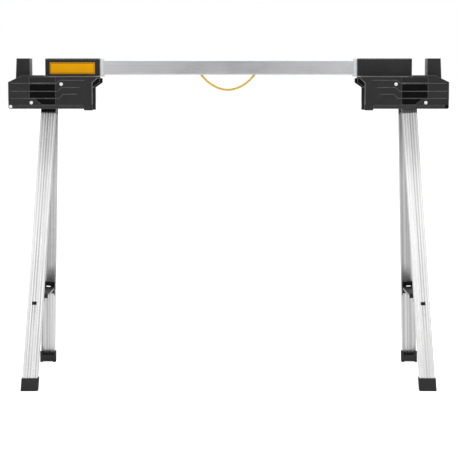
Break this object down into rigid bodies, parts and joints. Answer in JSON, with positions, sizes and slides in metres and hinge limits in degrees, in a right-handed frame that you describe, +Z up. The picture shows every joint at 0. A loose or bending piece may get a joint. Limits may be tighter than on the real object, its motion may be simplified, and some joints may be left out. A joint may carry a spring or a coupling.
{
  "type": "folding sawhorse",
  "caption": "Folding sawhorse: an aluminium beam with a lumber slot at each end, on two pairs of channel legs that close on hinged braces and swing in under the beam.",
  "frame": {"origin": "on the floor, below the middle of the beam", "axes": "+X along the beam towards the end with the outer pair of legs, -Y towards the front, the side with the badge, +Z up"},
  "size_m": [1.107, 0.4354, 0.8132],
  "materials": {
    "beam_aluminium": "brushed, satin",
    "leg_aluminium": "bright mill, grooved lengthwise",
    "charcoal_plastic": "fine moulded texture",
    "foot_rubber": "matt",
    "black_steel": "black, satin",
    "bright_steel": "bright plated",
    "light_trim": "pale grey",
    "badge_yellow": "smooth",
    "cord_yellow": "braided"
  },
  "bodies": {
    "frame": {"beam_rail": "beam_aluminium", "carry_cord": "cord_yellow", "cord_knot_left": "cord_yellow", "cord_knot_right": "cord_yellow", "cap_badge": "badge_yellow", "beam_collar_left": "light_trim", "beam_cap_left": "charcoal_plastic", "bracket_core_left": "charcoal_plastic", "support_post_left": "charcoal_plastic", "head_pivot_pin_left": "bright_steel", "corner_rivet_left": "bright_steel", "bracket_plate_front_left": "charcoal_plastic", "pivot_gusset_front_left": "black_steel", "plate_rivet_front_left": "bright_steel", "bracket_plate_rear_left": "charcoal_plastic", "pivot_gusset_rear_left": "black_steel", "plate_rivet_rear_left": "bright_steel", "beam_collar_right": "light_trim", "beam_cap_right": "charcoal_plastic", "bracket_core_right": "charcoal_plastic", "support_post_right": "charcoal_plastic", "head_pivot_pin_right": "bright_steel", "corner_rivet_right": "black_steel", "bracket_plate_front_right": "charcoal_plastic", "pivot_gusset_front_right": "black_steel", "plate_rivet_front_right": "bright_steel", "bracket_plate_rear_right": "charcoal_plastic", "pivot_gusset_rear_right": "black_steel", "plate_rivet_rear_right": "bright_steel"},
    "head_left": {"leg_head_left": "black_steel", "leg_hinge_pin_front_left": "bright_steel", "leg_hinge_pin_rear_left": "bright_steel"},
    "leg_front_left": {"leg_front_left": "leg_aluminium", "foot_cap_front_left": "foot_rubber", "brace_saddle_front_left": "black_steel", "brace_pin_front_left": "bright_steel"},
    "brace_front_left": {"brace_link_front_left": "black_steel", "brace_knee_rivet_front_left": "bright_steel"},
    "leg_rear_left": {"leg_rear_left": "leg_aluminium", "foot_cap_rear_left": "foot_rubber", "brace_saddle_rear_left": "black_steel", "brace_pin_rear_left": "bright_steel"},
    "brace_rear_left": {"brace_link_rear_left": "black_steel", "brace_knee_rivet_rear_left": "bright_steel"},
    "head_right": {"leg_head_right": "black_steel", "leg_hinge_pin_front_right": "bright_steel", "leg_hinge_pin_rear_right": "bright_steel"},
    "leg_front_right": {"leg_front_right": "leg_aluminium", "foot_cap_front_right": "foot_rubber", "brace_saddle_front_right": "black_steel", "brace_pin_front_right": "bright_steel"},
    "brace_front_right": {"brace_link_front_right": "black_steel", "brace_knee_rivet_front_right": "bright_steel"},
    "leg_rear_right": {"leg_rear_right": "leg_aluminium", "foot_cap_rear_right": "foot_rubber", "brace_saddle_rear_right": "black_steel", "brace_pin_rear_right": "bright_steel"},
    "brace_rear_right": {"brace_link_rear_right": "black_steel", "brace_knee_rivet_rear_right": "bright_steel"}
  },
  "joints": [
    {"name": "legs_swing_left", "type": "hinge", "parent": "frame", "child": "head_left", "pos_m": [-0.4954, 0, 0.702], "axis": [0, -1, 0], "range_deg": [0, 92.8]},
    {"name": "leg_close_front_left", "type": "hinge", "parent": "head_left", "child": "leg_front_left", "pos_m": [-0.4538, -0.01205, 0.708], "axis": [0.9988, 0, -0.0489], "range_deg": [0, 15.37]},
    {"name": "brace_fold_front_left", "type": "hinge", "parent": "leg_front_left", "child": "brace_front_left", "pos_m": [-0.4783, -0.14946, 0.207], "axis": [0.9988, 0, -0.0489], "range_deg": [0, 70.16]},
    {"name": "leg_close_rear_left", "type": "hinge", "parent": "head_left", "child": "leg_rear_left", "pos_m": [-0.4538, 0.01205, 0.708], "axis": [-0.9988, 0, 0.0489], "range_deg": [0, 15.37]},
    {"name": "brace_fold_rear_left", "type": "hinge", "parent": "leg_rear_left", "child": "brace_rear_left", "pos_m": [-0.4783, 0.14946, 0.207], "axis": [-0.9988, 0, 0.0489], "range_deg": [0, 70.16]},
    {"name": "legs_swing_right", "type": "hinge", "parent": "frame", "child": "head_right", "pos_m": [0.4202, 0, 0.7485], "axis": [0, 1, 0], "range_deg": [0, 91.3]},
    {"name": "leg_close_front_right", "type": "hinge", "parent": "head_right", "child": "leg_front_right", "pos_m": [0.4538, -0.03225, 0.708], "axis": [0.9988, 0, 0.0489], "range_deg": [0, 13.84]},
    {"name": "brace_fold_front_right", "type": "hinge", "parent": "leg_front_right", "child": "brace_front_right", "pos_m": [0.4783, -0.15535, 0.207], "axis": [0.9988, 0, 0.0489], "range_deg": [0, 64.33]},
    {"name": "leg_close_rear_right", "type": "hinge", "parent": "head_right", "child": "leg_rear_right", "pos_m": [0.4538, 0.03225, 0.708], "axis": [-0.9988, 0, -0.0489], "range_deg": [0, 13.84]},
    {"name": "brace_fold_rear_right", "type": "hinge", "parent": "leg_rear_right", "child": "brace_rear_right", "pos_m": [0.4783, 0.15535, 0.207], "axis": [-0.9988, 0, -0.0489], "range_deg": [0, 64.33]}
  ],
  "couplings": [
    {"joint": "leg_close_front_left", "follows": "legs_swing_left", "ratio": 0.16509},
    {"joint": "brace_fold_front_left", "follows": "legs_swing_left", "ratio": 0.75496},
    {"joint": "leg_close_rear_left", "follows": "legs_swing_left", "ratio": 0.16509},
    {"joint": "brace_fold_rear_left", "follows": "legs_swing_left", "ratio": 0.75496},
    {"joint": "leg_close_front_right", "follows": "legs_swing_right", "ratio": 0.15104},
    {"joint": "brace_fold_front_right", "follows": "legs_swing_right", "ratio": 0.7035},
    {"joint": "leg_close_rear_right", "follows": "legs_swing_right", "ratio": 0.15104},
    {"joint": "brace_fold_rear_right", "follows": "legs_swing_right", "ratio": 0.7035}
  ]
}
